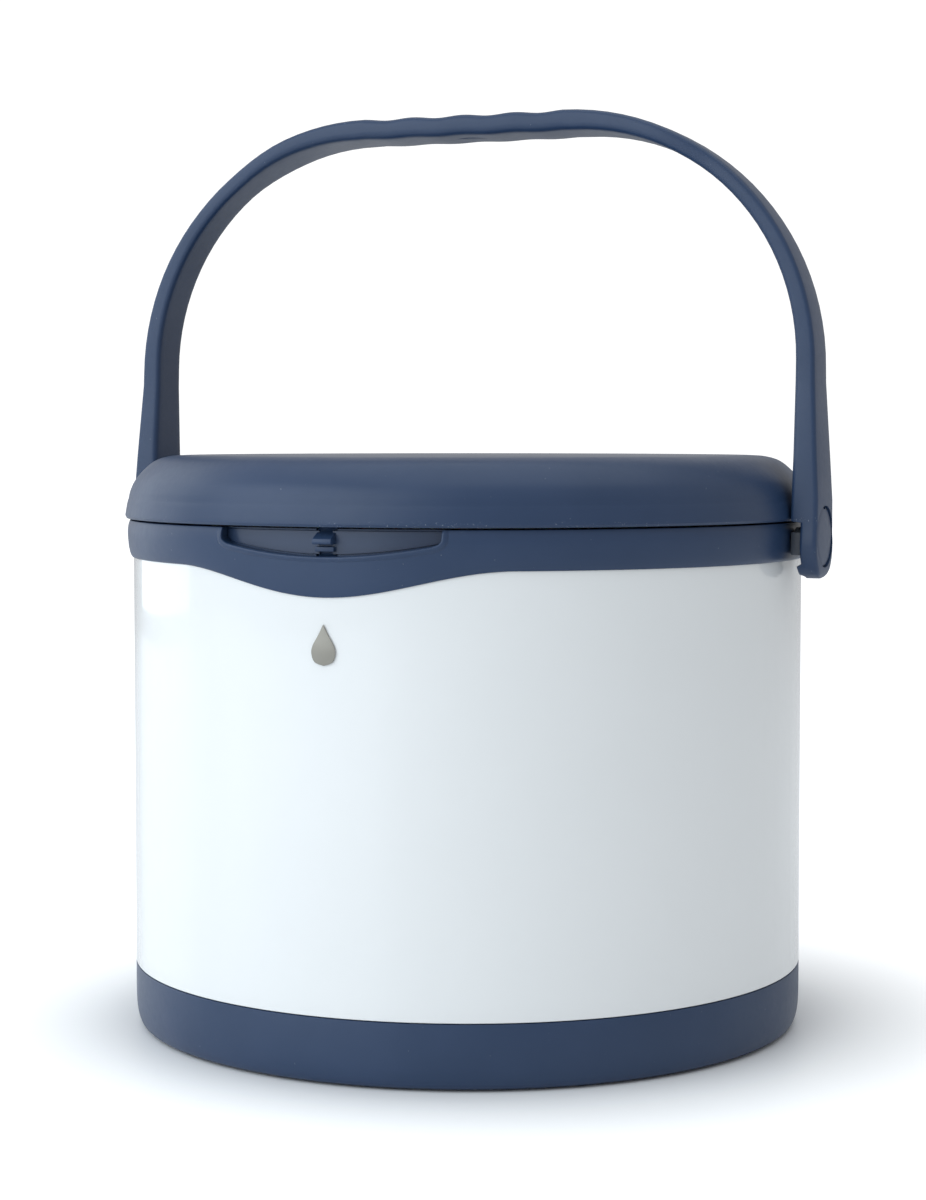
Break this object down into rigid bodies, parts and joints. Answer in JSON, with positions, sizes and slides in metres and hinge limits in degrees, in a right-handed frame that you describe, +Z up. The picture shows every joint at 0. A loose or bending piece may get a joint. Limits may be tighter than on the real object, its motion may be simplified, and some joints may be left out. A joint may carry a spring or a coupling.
{
  "type": "yogurt maker",
  "caption": "Insulated yogurt maker: round white vessel with blue base and collar, hinged latched lid, swinging carry handle and inner steel pot.",
  "frame": {"origin": "centre of the anti-slip pad's underside, on the surface the vessel stands on", "axes": "+Z up along the vessel's axis, -Y towards the finger recess at the front, +X to the right seen from the front"},
  "size_m": [0.2872, 0.2757, 0.353],
  "materials": {
    "blue_plastic": "satin moulded grey-blue plastic with a fine even grain",
    "lid_plate": "smooth grey-blue plastic, a little glossier than the lid",
    "white_enamel": "smooth glossy white enamel on steel",
    "steel": "fine circular brushed stainless steel",
    "pot_steel": "bright satin stainless steel",
    "fastener_steel": "plain bright zinc-plated steel",
    "pad_rubber": "matt black rubber",
    "silicone": "translucent off-white silicone, satin",
    "foam": "matt cream rigid foam",
    "dark_plastic": "dark grey-blue acetal",
    "mark_grey": "warm grey satin inlay"
  },
  "bodies": {
    "root": {"anti_slip_pad": "pad_rubber", "base_cup": "blue_plastic", "outer_shell": "white_enamel", "shell_bottom": "steel", "vacuum_seal": "steel", "inner_liner": "steel", "inner_pot": "pot_steel", "pot_ear_left": "pot_steel", "pot_ear_right": "pot_steel", "collar": "blue_plastic", "hinge_pin": "fastener_steel", "pivot_screw_left": "fastener_steel", "pivot_screw_right": "fastener_steel", "latch_pin": "fastener_steel", "latch_spring": "fastener_steel", "body_mark": "mark_grey", "base_screw_1": "fastener_steel", "base_screw_2": "fastener_steel", "base_screw_3": "fastener_steel", "collar_screw_1": "fastener_steel", "collar_screw_2": "fastener_steel", "collar_screw_3": "fastener_steel", "collar_screw_4": "fastener_steel"},
    "lid": {"lid_shell": "blue_plastic", "lid_top_plate": "lid_plate", "lid_insulation": "foam", "lid_liner": "steel", "lid_gasket": "silicone", "latch_keeper": "fastener_steel", "lid_screw_1": "fastener_steel", "lid_screw_2": "fastener_steel", "lid_screw_3": "fastener_steel", "lid_screw_4": "fastener_steel"},
    "carry_handle": {"carry_handle": "blue_plastic", "pivot_cap_left": "blue_plastic", "pivot_cap_right": "blue_plastic", "hub_washer_left": "dark_plastic", "hub_washer_right": "dark_plastic"},
    "latch_catch": {"latch_catch": "blue_plastic"}
  },
  "joints": [
    {"name": "lid_hinge", "type": "hinge", "parent": "root", "child": "lid", "pos_m": [0, 0.138, 0.196], "axis": [-1, 0, 0], "range_deg": [0, 87]},
    {"name": "handle_swing", "type": "hinge", "parent": "root", "child": "carry_handle", "pos_m": [0, 0, 0.1904], "axis": [-1, 0, 0], "range_deg": [0, 113.5]},
    {"name": "latch_press", "type": "hinge", "parent": "root", "child": "latch_catch", "pos_m": [0, -0.1249, 0.1877], "axis": [-1, 0, 0], "range_deg": [0, 12.5], "stiffness_Nm_per_rad": 0.12, "springref_deg": -8.59, "deforming": ["latch_spring"]}
  ],
  "couplings": [
    {"joint": "handle_swing", "follows": "lid_hinge", "ratio": 1.3}
  ]
}
